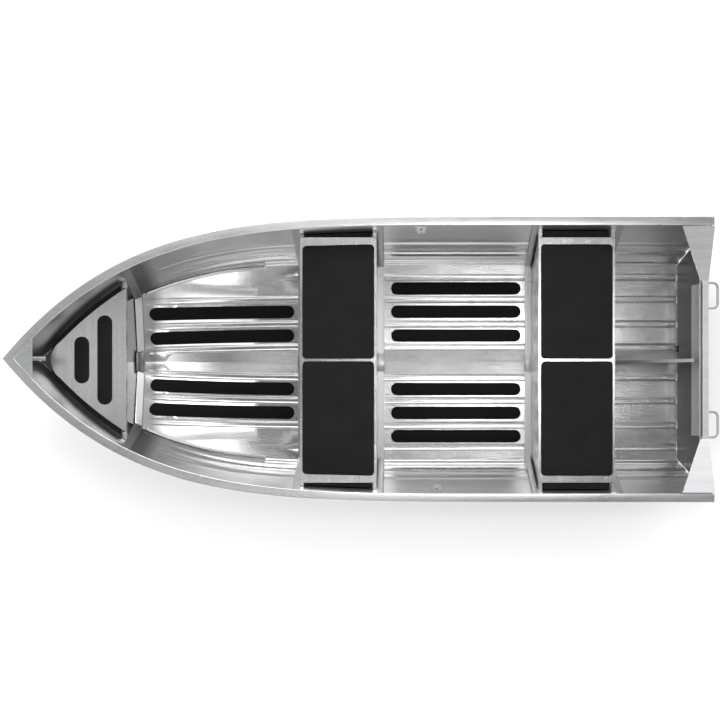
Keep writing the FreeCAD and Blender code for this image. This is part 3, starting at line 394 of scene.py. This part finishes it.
class Lines:
    """The hull's lines, in metres; X of the frame is a station less the middle."""

    def __init__(self):
        self.p = bpy.context.scene.boat_hull
        self.middle = self.p.hull_length - CAD_BOX[1].x

    def x(self, s):
        return s - self.middle

    def half_breadth(self, s):
        """Centre line to the gunwale's outer edge."""
        p = self.p
        return p.half_beam * (1 - beyond(s, p.hull_length - p.plan_run, p.hull_length) ** 5)

    def inboard(self, s, distance):
        """Centre line to what lies that far in from the gunwale's outer edge, square to it."""
        step = 0.001
        slope = (self.half_breadth(s + step) - self.half_breadth(s - step)) / (2 * step)
        return self.half_breadth(s) - distance * math.hypot(1, slope)

    def sheer(self, s):
        p = self.p
        return p.depth + p.bow_rise * beyond(s, p.hull_length - p.plan_run, p.hull_length) ** 2

    def along(self, s):
        """Share of the way along the stretch where the chine draws in."""
        return beyond(s, self.p.chine_start, self.p.chine_end)

    def chine_y(self, s):
        return self.p.chine_half * (1 - self.along(s) ** 2.75)

    def risen(self, s, power):
        p = self.p
        return p.strake_depth + p.chine_rise * beyond(s, p.rise_start, p.chine_end) ** power

    def chine_z(self, s):
        return self.risen(s, 2)

    def keel_z(self, s):
        return self.risen(s, 4)

    def fade(self, s, end):
        """Depth left of a pressing that fades out at the end, from 1 to 0."""
        return eased((end - s) / self.p.press_fade)

    def bottom_slope(self, s):
        return (self.chine_z(s) - self.keel_z(s)) / max(self.chine_y(s), LEAST_BREADTH)

    def bottom(self, s, y):
        """Height of the bottom's lower face."""
        return self.keel_z(s) + (self.chine_z(s) - self.keel_z(s)) * y / max(self.chine_y(s), LEAST_BREADTH)

    def lift(self, s):
        """The bottom sheet's thickness, measured straight up."""
        return self.p.skin * math.hypot(1, self.bottom_slope(s))

    def side(self, s):
        """Foot of the side's outer face, the direction up it, the direction inboard and its height."""
        p = self.p
        lap = p.gunwale_wall + p.fit
        foot = (self.chine_y(s), self.chine_z(s))
        top = (self.inboard(s, lap), self.sheer(s) - lap - p.skin / 2)
        tall = math.hypot(top[0] - foot[0], top[1] - foot[1])
        up = ((top[0] - foot[0]) / tall, (top[1] - foot[1]) / tall)
        return foot, up, (-up[1], up[0]), tall


# ------------------------------------------------------------------- mesh work

def new_object(name, mesh, slot, smooth=SMOOTH_ANGLE):
    """Puts a mesh in the scene with its finish, riding on the boat."""
    mesh.validate()
    made = bpy.data.objects.new(name, mesh)
    bpy.context.scene.collection.objects.link(made)
    mesh.materials.clear()
    mesh.materials.append(finish_of(slot))
    mesh.shade_smooth()
    mesh.set_sharp_from_angle(angle=smooth)
    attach(made, "root")
    return made


def mesh_of(name, bm):
    """Turns a bmesh into a mesh with its faces looking out."""
    bmesh.ops.recalc_face_normals(bm, faces=bm.faces)
    mesh = bpy.data.meshes.new(name)
    bm.to_mesh(mesh)
    bm.free()
    return mesh


def join_rings(bm, rings):
    """Adds faces from each ring of points to the next, and closes both ends."""
    rows = [[bm.verts.new(point) for point in ring] for ring in rings]
    for row, after in zip(rows, rows[1:]):
        for index in range(len(row)):
            beside = (index + 1) % len(row)
            bm.faces.new((row[index], row[beside], after[beside], after[index]))
    bm.faces.new(rows[0])
    bm.faces.new(list(reversed(rows[-1])))


def through(rings):
    """Closed form that runs through rings of points."""
    bm = bmesh.new()
    join_rings(bm, rings)
    return bm


def trim(bm, point, normal):
    """Cuts away what lies behind a plane and closes the cut."""
    cut = bmesh.ops.bisect_plane(bm, geom=bm.verts[:] + bm.edges[:] + bm.faces[:], dist=1e-7,
                                 plane_co=point, plane_no=normal, clear_inner=True)
    edges = [item for item in cut["geom_cut"] if isinstance(item, bmesh.types.BMEdge)]
    bmesh.ops.holes_fill(bm, edges=[e for e in edges if e.is_valid], sides=0)


def mirrored_pair(name, bm, slot, ending=""):
    """The port piece and its mirror image."""
    port = mesh_of(f"{name}_port{ending}", bm)
    starboard = port.copy()
    starboard.transform(Matrix.Scale(-1, 4, (0, 1, 0)))
    starboard.flip_normals()
    return (new_object(f"{name}_port{ending}", port, slot),
            new_object(f"{name}_starboard{ending}", starboard, slot))


def both_sides(name, bm, slot, replaced):
    """Skins of a port sheet and its mirror image, which stand for their nodes."""
    for piece, side in zip(mirrored_pair(name, bm, slot, "_skin"), ("port", "starboard")):
        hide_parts(*(f"{node}_{side}" for node in replaced))


def rounded(points, radius, steps=4):
    """A closed outline with every corner turned on an arc of about that radius."""
    out = []
    count = len(points)
    for index, here in enumerate(points):
        before, after = points[index - 1], points[(index + 1) % count]
        here, before, after = Vector(here), Vector(before), Vector(after)
        back, on = before - here, after - here
        reach = min(radius, back.length * 0.45, on.length * 0.45)
        first, last = here + back.normalized() * reach, here + on.normalized() * reach
        for step in range(steps + 1):
            t = step / steps
            out.append(first * (1 - t) ** 2 + here * 2 * t * (1 - t) + last * t * t)
    return out


def pressing(u):
    """Profile across a pressed rib, -1 to 1: a round-shouldered channel."""
    return eased((1 - abs(u)) / SHOULDER)


def bottom_ring(lines, s):
    """Section of the port bottom sheet, round-shouldered strakes and all."""
    p = lines.p
    edge = lines.chine_y(s) - p.skin - p.fit
    shift = p.strake_converge * lines.along(s) ** 2
    strakes = [(share, p.strake_end) for share in STRAKE_SHARES]
    strakes.append((OUTER_STRAKE_SHARE, p.outer_strake_end))
    outer = [(p.fit / 2, -p.keel_drop * lines.fade(s, p.strake_end))]
    for share, end in strakes:
        centre = share * p.chine_half - shift
        depth = p.strake_depth * lines.fade(s, end)
        for u in spread(-1, 1, PRESSING_STEPS):
            y = min(centre + u * p.strake_width / 2, edge - EDGE_MARGIN)
            outer.append((max(y, outer[-1][0] + NUDGE), -depth * pressing(u)))
    outer.append((max(edge, outer[-1][0] + NUDGE), 0.0))
    squeeze = min(1.0, edge / outer[-1][0])
    low = [(y * squeeze, lines.bottom(s, y * squeeze) + dip) for y, dip in outer]
    return low + [(y, z + lines.lift(s)) for y, z in reversed(low)]


def side_ring(lines, s):
    """Section of the port side sheet with its pressed ribs."""
    p = lines.p
    foot, up, inward, tall = lines.side(s)
    squeeze = tall / lines.side(0.0)[3]
    deep = p.rib_depth * lines.fade(s, p.rib_end)
    outer = [(0.0, 0.0)]
    for centre in RIB_HEIGHTS:
        for u in spread(-1, 1, PRESSING_STEPS):
            rise = (centre + u * p.rib_width / 2) * squeeze
            outer.append((max(rise, outer[-1][0] + NUDGE), deep * pressing(u)))
    outer += [(rise, 0.0) for rise in spread(ABOVE_RIBS * squeeze, tall, 6)]
    ring = [(foot[0] + up[0] * a - inward[0] * b, foot[1] + up[1] * a - inward[1] * b) for a, b in outer]
    return ring + [(y + inward[0] * p.skin, z + inward[1] * p.skin) for y, z in reversed(ring)]


def swept(lines, count, end, section):
    """Sweeps a section from behind the transom to the end station, and trims it to the transom's rake."""
    p = lines.p
    bm = through([[(lines.x(s), y, z) for y, z in section(s)] for s in spread(CUT_START, end, count)])
    trim(bm, Vector((lines.x(0), 0, p.depth)), Vector((math.cos(p.rake), 0, math.sin(p.rake))))
    return bm


def trim_centre(lines, bm):
    """Keeps what is on the port side of the centre line, less half a fit."""
    trim(bm, Vector((0, lines.p.fit / 2, 0)), Vector((0, 1, 0)))


# ------------------------------------------------------------------- operators

class BoatOperator:
    """Shared by the operators: they run on the open scene and can be undone."""
    bl_options = {"REGISTER", "UNDO"}


class BOAT_OT_hull_sheets(BoatOperator, bpy.types.Operator):
    """Bottom and side sheets with their pressed strakes and ribs"""
    bl_idname = "boat.hull_sheets"
    bl_label = "Hull sheets"

    def execute(self, context):
        lines = Lines()
        p = lines.p
        bm = swept(lines, SHEET_STATIONS, p.chine_end - BOTTOM_SHORT, lambda s: bottom_ring(lines, s))
        both_sides("bottom_panel", bm, "hull_sheet", ("bottom_panel",))
        bm = swept(lines, SHEET_STATIONS, p.hull_length, lambda s: side_ring(lines, s))
        trim_centre(lines, bm)
        both_sides("side_panel", bm, "hull_sheet", ("side_panel",))
        return {"FINISHED"}


class BOAT_OT_gunwales(BoatOperator, bpy.types.Operator):
    """Rounded gunwale channels over the side sheets' edges"""
    bl_idname = "boat.gunwales"
    bl_label = "Gunwales"

    def execute(self, context):
        lines = Lines()
        p = lines.p
        wall, wide = p.gunwale_wall, p.gunwale_width
        corners = [(0, -p.gunwale_outer), (0, 0), (wide, 0), (wide, -p.gunwale_inner),
                   (wide - wall, -p.gunwale_inner), (wide - wall, -wall), (wall, -wall),
                   (wall, -p.gunwale_outer)]
        outline = rounded([(a, b, 0) for a, b in corners], GUNWALE_ROUND)
        bm = swept(lines, GUNWALE_STATIONS, p.hull_length,
                   lambda s: [(lines.inboard(s, c.x), lines.sheer(s) + c.y) for c in outline])
        trim_centre(lines, bm)
        both_sides("gunwale", bm, "extrusion", ("gunwale_aft", "gunwale_fore"))
        return {"FINISHED"}


class BOAT_OT_frames(BoatOperator, bpy.types.Operator):
    """Softens the edges of the folded parts and gives them their finish"""
    bl_idname = "boat.frames"
    bl_label = "Folded parts"

    def execute(self, context):
        slots = {part["node"]: part["material_slot"] for part in frame["record"]["subparts"]}
        for name, node in NODES.items():
            if node.hide_render:
                continue
            node.data.materials.clear()
            # The transom panel and motor board take the transom sheet, with its painted dark reflection on
            # the inner face.
            at_stern = name in ("transom_panel", "motor_board")
            node.data.materials.append(finish_of("transom_sheet" if at_stern else slots[name]))
            weld = node.modifiers.new("seams", "WELD")
            weld.merge_threshold = SAME_SPOT
            soften = node.modifiers.new("edges", "BEVEL")
            soften.width = FOLD_ROUND
            soften.segments = 2
            soften.limit_method = "ANGLE"
            soften.angle_limit = math.radians(40)
            soften.harden_normals = False
        return {"FINISHED"}


def welded(node):
    """The node's own form as an open bmesh, with its flat faces whole again."""
    bm = bmesh.new()
    bm.from_mesh(NODES[node].data)
    bmesh.ops.remove_doubles(bm, verts=bm.verts, dist=SAME_SPOT)
    bmesh.ops.dissolve_limit(bm, angle_limit=FLAT_ANGLE, verts=bm.verts, edges=bm.edges)
    return bm


def foam_pad(node, slot, roll):
    """Foam pad in the place of its plain solid, with softly rolled edges."""
    bm = welded(node)
    edges = [e for e in bm.edges if e.is_manifold and e.calc_face_angle() > PAD_CORNER]
    bmesh.ops.bevel(bm, geom=edges, offset=roll, segments=4, profile=0.5, affect="EDGES",
                    clamp_overlap=True)
    bmesh.ops.triangulate(bm, faces=[f for f in bm.faces if len(f.verts) > 4])
    piece = new_object(f"{node}_foam", mesh_of(f"{node}_foam", bm), slot, PAD_CORNER)
    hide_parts(node)


def seat_gap_shade(node):
    """Black block in the seat foam between a thwart's sloping ends and the side sheets: painted shade for the
    gap there.
    """
    lines = Lines()
    p = lines.p
    low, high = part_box(node)
    inset, clear, top, bottom = 0.026, 0.003, high[2] - 0.006, 0.06
    lean = (high[1] - p.chine_half + SEAT_FOOT_GAP) / (high[2] - p.strake_depth)
    rings = []
    for x in spread(low[0] + inset, high[0] - inset, 8):
        foot, up, _, _ = lines.side(x + lines.middle)
        corners = []
        for z in (bottom, top):
            near = high[1] - (high[2] - z) * lean + clear
            far = foot[0] + (z - foot[1]) * up[0] / up[1] - p.skin - p.rib_depth - clear
            corners.append(((near, z, 0), (far, z, 0)))
        (low_near, low_far), (top_near, top_far) = corners
        rings.append([(x, c.x, c.y) for c in rounded([low_near, low_far, top_far, top_near], 0.004)])
    # The black seat foam stands in for the shade in the gap.
    mirrored_pair(f"{node}_core", through(rings), "seat_foam")


def bow_edging():
    """Foam edging along the two long sides of the bow seat, which follows the seat's own rim."""
    bm = welded("bow_seat")
    top = max(vert.co.z for vert in bm.verts)
    low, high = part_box("bow_seat")
    rim = sorted(((v.co.x, v.co.y) for v in bm.verts if v.co.z > top - 0.0005 and v.co.y > 0.03
                  and low[0] + 0.004 < v.co.x < high[0] - 0.003))
    bm.free()
    wide, tall, gap, sunk = 0.032, 0.012, 0.0008, 0.004
    section = ((gap, -tall), (wide, -tall), (wide + 0.002, -tall / 2), (wide, 0), (gap, 0))
    rings = [[(x, y + a, top - sunk + b) for a, b in section] for x, y in rim]
    mirrored_pair("bow_seat_edging", through(rings), "seat_foam")


class BOAT_OT_foam_pads(BoatOperator, bpy.types.Operator):
    """Closed-cell foam of the seats and the floor: pads, black blocks at the thwarts' ends that stand in as
    painted shade for the gaps there, and the bow seat's edging
    """
    bl_idname = "boat.foam_pads"
    bl_label = "Foam"

    def execute(self, context):
        for node in sorted(NODES):
            if "seat_pad" in node:
                foam_pad(node, "seat_foam", SEAT_PAD_ROLL)
            elif "floor_pads" in node:
                foam_pad(node, "floor_foam", FLOOR_PAD_ROLL)
        # Painted shade: black blocks in the gaps at the thwarts' ends.
        for node in ("front_seat", "aft_seat"):
            seat_gap_shade(node)
        bow_edging()
        return {"FINISHED"}


RIVET = ((0.0045, -0.001), (0.0045, 0.0002), (0.0041, 0.0012), (0.003, 0.0019), (0.0014, 0.0022))
BOLT = ((0.0085, -0.001), (0.0085, 0.0012), (0.0062, 0.0013), (0.0062, 0.0050), (0.0054, 0.0056),
        (0.0018, 0.0057))
SCREW = ((0.0036, -0.0006), (0.0036, 0.0004), (0.0030, 0.0012), (0.0016, 0.0015), (0.0012, 0.0008))
HEAD_TURNS = 14
BEAD_TURNS = 8
BEAD_STEP = 0.0035


def circle(centre, normal, radius, turns):
    """Points around a centre, square to a normal."""
    first = normal.orthogonal().normalized()
    second = normal.cross(first)
    return [centre + (first * math.cos(a) + second * math.sin(a)) * radius
            for a in spread(0, math.tau * (1 - 1 / turns), turns)]


def studs(name, spots, profile):
    """Round fastener heads: a profile of (radius, height) turned about the normal of each spot."""
    bm = bmesh.new()
    for spot, normal in spots:
        normal = Vector(normal).normalized()
        join_rings(bm, [circle(Vector(spot) + normal * height, normal, radius, HEAD_TURNS)
                        for radius, height in profile])
    new_object(name, mesh_of(name, bm), "casting", math.radians(30))


def walk(points, far):
    """The spot and the direction at a distance along a path."""
    for a, b in zip(points, points[1:]):
        if far <= (b - a).length + 1e-9:
            break
        far -= (b - a).length
    along = (b - a).normalized()
    return a + along * min(far, (b - a).length), along


def beads(name, paths, radius, seed):
    """Weld beads: a low rippled ridge along each path."""
    pick = random.Random(seed)
    bm = bmesh.new()
    for path in paths:
        points = [Vector(point) for point in path]
        run = sum((b - a).length for a, b in zip(points, points[1:]))
        count = max(6, int(run / BEAD_STEP))
        rings = []
        for step in range(count + 1):
            spot, along = walk(points, run * step / count)
            size = radius * (1 + 0.16 * (-1) ** step + pick.uniform(-0.08, 0.08))
            if step in (0, count):
                size *= 0.3
            rings.append(circle(spot, along, size, BEAD_TURNS))
        join_rings(bm, rings)
    new_object(name, mesh_of(name, bm), "casting", math.radians(80))


def mirrored(spots):
    """The same spots and normals on the starboard side too."""
    return list(spots) + [((x, -y, z), (a, -b, c)) for (x, y, z), (a, b, c) in spots]


def rail_rivets(lines):
    """One rivet near each end of the chine rails."""
    p = lines.p
    low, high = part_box("chine_rail_port")
    inset, thick = 0.007, 0.010
    spots = []
    for x in (high[0] - 0.010, low[0] + 0.012):
        s = x + lines.middle
        y = lines.chine_y(s) - 2 * p.skin - p.fit - inset
        top = lines.bottom(s, y) + lines.lift(s) + p.fit + thick
        spots.append(((x, y, top), (0, -lines.bottom_slope(s), 1)))
    studs("rail_rivets", mirrored(spots), RIVET)


def frame_bolts():
    """One bolt through the foot of each side frame."""
    out, foot_top = 0.470, 0.0303
    spots = []
    for node in NODES:
        if node.startswith("side_frame") and node.endswith("port"):
            low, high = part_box(node)
            spots.append((((low[0] + high[0]) / 2, out, foot_top), (0, 0, 1)))
    studs("frame_bolts", mirrored(spots), BOLT)


def rowlock_screws(lines):
    """Two screws in the flange of each rowlock socket, which are not opposite one another."""
    drift, inset = 0.021, 0.009
    spots = []
    for side, sign in (("port", 1), ("starboard", -1)):
        low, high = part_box(f"rowlock_socket_{side}")
        middle = (low[0] + high[0]) / 2
        edge = high[1] if side == "port" else -low[1]
        for x in (middle - drift, middle + drift):
            spots.append(((x, sign * (edge - inset), lines.p.depth), (0, 0, 1)))
    studs("rowlock_screws", spots, SCREW)


def add_block(bm, low, high):
    """Box between two corners."""
    made = bmesh.ops.create_cube(bm, size=1.0)
    middle = (Vector(low) + Vector(high)) / 2
    for vert in made["verts"]:
        vert.co = Vector(c * (b - a) for c, a, b in zip(vert.co, low, high)) + middle


def strap_seat(node):
    """Aft edge, forward edge and top of a frame where its strap lies."""
    if node == "bow_frame_port":
        near = [vert.co for vert in NODES[node].data.vertices if vert.co.y < 0.09]
        return min(co.x for co in near), max(co.x for co in near), max(co.z for co in near)
    low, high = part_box(node)
    return low[0], high[0], high[2]


def joint_straps():
    """Folded straps at the middle of each floor frame, and where the bow frame's halves meet."""
    wall, half, rise, lap = 0.003, 0.050, 0.016, 0.004
    bm = bmesh.new()
    for node in sorted(NODES):
        if not node.startswith("floor_frame") and node != "bow_frame_port":
            continue
        aft, fore, top = strap_seat(node)
        add_block(bm, (aft - wall, -half, top + 0.0003), (fore + wall, half, top + wall))
        for x in (aft - wall, fore):
            add_block(bm, (x, -half, top - lap), (x + wall, half, top + rise))
    bmesh.ops.bevel(bm, geom=bm.edges[:], offset=0.0008, segments=2, affect="EDGES", profile=0.5)
    new_object("joint_straps", mesh_of("joint_straps", bm), "frame_sheet")


class BOAT_OT_fittings(BoatOperator, bpy.types.Operator):
    """Rivets, bolts and screws, and the straps across the frames"""
    bl_idname = "boat.fittings"
    bl_label = "Fasteners and straps"

    def execute(self, context):
        lines = Lines()
        rail_rivets(lines)
        frame_bolts()
        rowlock_screws(lines)
        joint_straps()
        return {"FINISHED"}


class BOAT_OT_welds(BoatOperator, bpy.types.Operator):
    """Weld beads where the corner knees and the breasthook meet the gunwales"""
    bl_idname = "boat.welds"
    bl_label = "Weld beads"

    def execute(self, context):
        lines = Lines()
        low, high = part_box("breasthook")
        runs = ((0.010, 0.142), (low[0] + lines.middle + 0.004, high[0] + lines.middle - 0.03))
        inner, proud = lines.p.gunwale_width + lines.p.fit, 0.0004
        paths = [[(lines.x(s), lines.inboard(s, inner), lines.sheer(s) + proud) for s in spread(*run, 8)]
                 for run in runs]
        paths += [[(x, -y, z) for x, y, z in path] for path in paths]
        beads("corner_welds", paths, 0.0017, 3)
        return {"FINISHED"}


# ----------------------------------------------------------------------- stage

def studio_air():
    """Pale light, strongest half-way up and on the starboard side, dim straight above."""
    s = Shader(bpy.data.worlds.new("studio"))
    toward = s.add("ShaderNodeTexCoord")
    port = s.part_of(toward, 1)
    level = s.ramp(s.part_of(toward, 2), (0.0, 0.66), (0.45, 0.75), (0.72, 1.0), (0.84, 0.50), (0.93, 0.16),
                   (0.985, 0.08))
    air = s.add("ShaderNodeBackground", {}, level * (1 - port * 0.45), 1.35)
    s.add("ShaderNodeOutputWorld", {}, air)
    return s.owner


def link(name, data, location=(0, 0, 0), rotation=(0, 0, 0)):
    """Puts a lamp, camera or mesh in the scene."""
    made = bpy.data.objects.new(name, data)
    made.location, made.rotation_euler = location, rotation
    bpy.context.scene.collection.objects.link(made)
    return made


def studio_floor():
    half = 30.0
    corners = [(-half, -half, 0), (half, -half, 0), (half, half, 0), (-half, half, 0)]
    mesh = bpy.data.meshes.new("studio_floor")
    mesh.from_pydata(corners, [], [(0, 1, 2, 3)])
    s = Shader(bpy.data.materials.new("floor_paint"))
    tone = s.blend(s.noise(EVEN, 1.2), (0.84, 0.84, 0.84), (0.86, 0.86, 0.86))
    mesh.materials.append(s.finish(Base_Color=tone, Roughness=0.9, Specular_IOR_Level=0.0))
    link("studio_floor", mesh)


def softbox(name, spot, size, radiance):
    """Rectangular lamp that looks at the boat; its power follows from its radiance and its area."""
    data = bpy.data.lights.new(name, "AREA")
    data.shape, data.size, data.size_y = "RECTANGLE", size[0], size[1]
    data.energy = radiance * math.pi * size[0] * size[1]
    toward = Vector(SOFTBOX_TARGET) - Vector(spot)
    link(name, data, spot, toward.to_track_quat("-Z", "Y").to_euler())


def fill_sky():
    """Broad light from above that brightens the floor and leaves no reflection in the metal."""
    sky = bpy.data.lights.new("fill_sky", "SUN")
    sky.energy, sky.angle = 1.3, math.radians(140)
    link("fill_sky", sky).visible_glossy = False


def overhead_camera():
    """Camera straight above, with the bow to the left; the shifts put the boat in its place."""
    data = bpy.data.cameras.new("camera")
    data.sensor_width, data.lens = 36.0, 73.9
    data.shift_x, data.shift_y = -0.05, 0.0625
    data.clip_end = 100.0
    return link("camera", data, (-0.149, 0.233, 8.08), (0, 0, math.pi))


class BOAT_OT_stage(BoatOperator, bpy.types.Operator):
    """Pale floor, soft studio light and the camera straight above"""
    bl_idname = "boat.stage"
    bl_label = "Stage"

    def execute(self, context):
        scene = context.scene
        studio_floor()
        scene.world = studio_air()
        for box in SOFTBOXES:
            softbox(*box)
        fill_sky()
        scene.camera = overhead_camera()
        scene.view_settings.view_transform = "Standard"
        return {"FINISHED"}


OPERATORS = (BOAT_OT_hull_sheets, BOAT_OT_gunwales, BOAT_OT_foam_pads, BOAT_OT_frames,
             BOAT_OT_fittings, BOAT_OT_welds, BOAT_OT_stage)


class BOAT_PT_panel(bpy.types.Panel):
    """The boat's pieces, in the order in which they are made"""
    bl_idname = "BOAT_PT_panel"
    bl_label = "Rowing boat"
    bl_space_type = "VIEW_3D"
    bl_region_type = "UI"
    bl_category = "Boat"

    def draw(self, context):
        for operator in OPERATORS:
            self.layout.operator(operator.bl_idname)


CLASSES = (HullSizes, BoatFinish, *OPERATORS, BOAT_PT_panel)


def register():
    for item in CLASSES:
        bpy.utils.register_class(item)
    bpy.types.Scene.boat_hull = bpy.props.PointerProperty(type=HullSizes)
    bpy.types.Scene.boat_finish = bpy.props.PointerProperty(type=BoatFinish)


def unregister():
    del bpy.types.Scene.boat_finish
    del bpy.types.Scene.boat_hull
    for item in reversed(CLASSES):
        bpy.utils.unregister_class(item)


def main():
    register()
    for piece in ("hull_sheets", "gunwales", "foam_pads", "frames", "fittings", "welds", "stage"):
        getattr(bpy.ops.boat, piece)()


if __name__ == "__main__":
    main()
